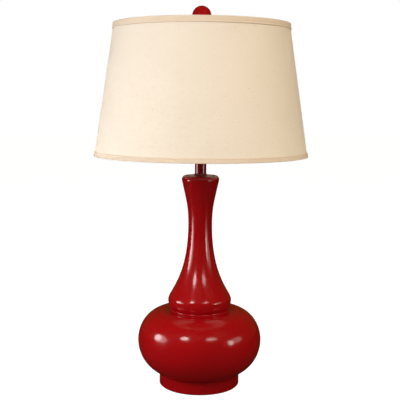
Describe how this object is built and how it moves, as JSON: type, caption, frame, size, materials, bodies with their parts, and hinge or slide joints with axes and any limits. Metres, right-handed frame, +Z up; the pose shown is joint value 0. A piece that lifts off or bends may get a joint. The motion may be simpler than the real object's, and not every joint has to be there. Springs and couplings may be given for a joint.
{
  "type": "table lamp",
  "caption": "Double gourd ceramic table lamp with a long flared neck, tapered drum shade on a harp, ball finial, turn-knob socket and screw-in bulb.",
  "frame": {"origin": "centre of the foot's felt, on the surface that the lamp stands on", "axes": "+Z up along the lamp's axis; the switch knob points to -Y, the front, and the cord inlet is at +Y"},
  "size_m": [0.4335, 0.4336, 0.7757],
  "materials": {
    "red_glaze": "deep red gloss glaze on ceramic, opaque",
    "red_metal": "deep red gloss enamel",
    "red_ball": "red gloss lacquer on turned wood",
    "brass": "plated, lightly polished",
    "zinc_steel": "zinc plated",
    "white_wire": "white coated wire",
    "linen": "cream linen with slubs",
    "trim_linen": "cream linen binding",
    "white_liner": "white styrene sheet",
    "felt": "dark felt",
    "paper": "waxed insulating paper",
    "black_plastic": "moulded phenolic",
    "frosted_glass": "inside frosted",
    "clear_glass": "clear",
    "dark_glass": "opaque dark glass",
    "cap_metal": "nickel bright"
  },
  "bodies": {
    "lamp": {"felt_pad": "felt", "gourd_body": "red_glaze", "base_plate": "zinc_steel", "lock_washer": "zinc_steel", "bottom_nut": "zinc_steel", "cord_bushing": "black_plastic", "center_pipe": "zinc_steel", "check_ring": "red_metal", "neck_tube": "red_metal", "harp_saddle": "brass", "harp_wire": "brass", "socket_cap": "brass", "set_screw": "brass", "socket_shell": "brass", "socket_sleeve": "paper", "socket_block": "black_plastic", "terminal_screws": "brass", "screw_shell": "brass", "center_contact": "brass"},
    "switch": {"switch_shaft": "zinc_steel", "switch_knob": "black_plastic"},
    "sleeve_left": {"harp_sleeve_left": "brass"},
    "sleeve_right": {"harp_sleeve_right": "brass"},
    "bulb_lift": {"bulb_contact": "cap_metal"},
    "bulb": {"bulb_insulator": "dark_glass", "bulb_cap": "cap_metal", "bulb_globe": "frosted_glass", "filament_stem": "clear_glass"},
    "shade": {"harp_seat": "brass", "spider_hub": "white_wire", "spider_arm_rear": "white_wire", "spider_arm_left": "white_wire", "spider_arm_right": "white_wire", "top_ring": "white_wire", "bottom_ring": "white_wire", "shade_liner": "white_liner", "shade_fabric": "linen", "top_trim": "trim_linen", "bottom_trim": "trim_linen"},
    "finial_lift": {"finial_insert": "brass"},
    "finial": {"finial_collar": "red_ball", "finial_ball": "red_ball"}
  },
  "joints": [
    {"name": "switch_knob_turn", "type": "hinge", "parent": "lamp", "child": "switch", "pos_m": [0, -0.026, 0.527], "axis": [0, -1, 0], "continuous": true},
    {"name": "sleeve_left_slide", "type": "slide", "parent": "lamp", "child": "sleeve_left", "axis": [0, 0, 1], "range_m": [0, 0.012]},
    {"name": "sleeve_right_slide", "type": "slide", "parent": "lamp", "child": "sleeve_right", "axis": [0, 0, 1], "range_m": [0, 0.012]},
    {"name": "bulb_rise", "type": "slide", "parent": "lamp", "child": "bulb_lift", "axis": [0, 0, 1], "range_m": [0, 0.0165]},
    {"name": "bulb_turn", "type": "hinge", "parent": "bulb_lift", "child": "bulb", "pos_m": [0, 0, 0.5386], "axis": [0, 0, 1], "range_deg": [0, 1620]},
    {"name": "shade_turn", "type": "hinge", "parent": "lamp", "child": "shade", "pos_m": [0, 0, 0.7207], "axis": [0, 0, 1], "continuous": true},
    {"name": "finial_rise", "type": "slide", "parent": "shade", "child": "finial_lift", "axis": [0, 0, 1], "range_m": [0, 0.0086]},
    {"name": "finial_turn", "type": "hinge", "parent": "finial_lift", "child": "finial", "pos_m": [0, 0, 0.7565], "axis": [0, 0, 1], "range_deg": [0, 3240]}
  ],
  "couplings": [
    {"joint": "finial_rise", "follows": "finial_turn", "m_per_rad": 0.00014972},
    {"joint": "bulb_rise", "follows": "bulb_turn", "m_per_rad": 0.0005775}
  ]
}
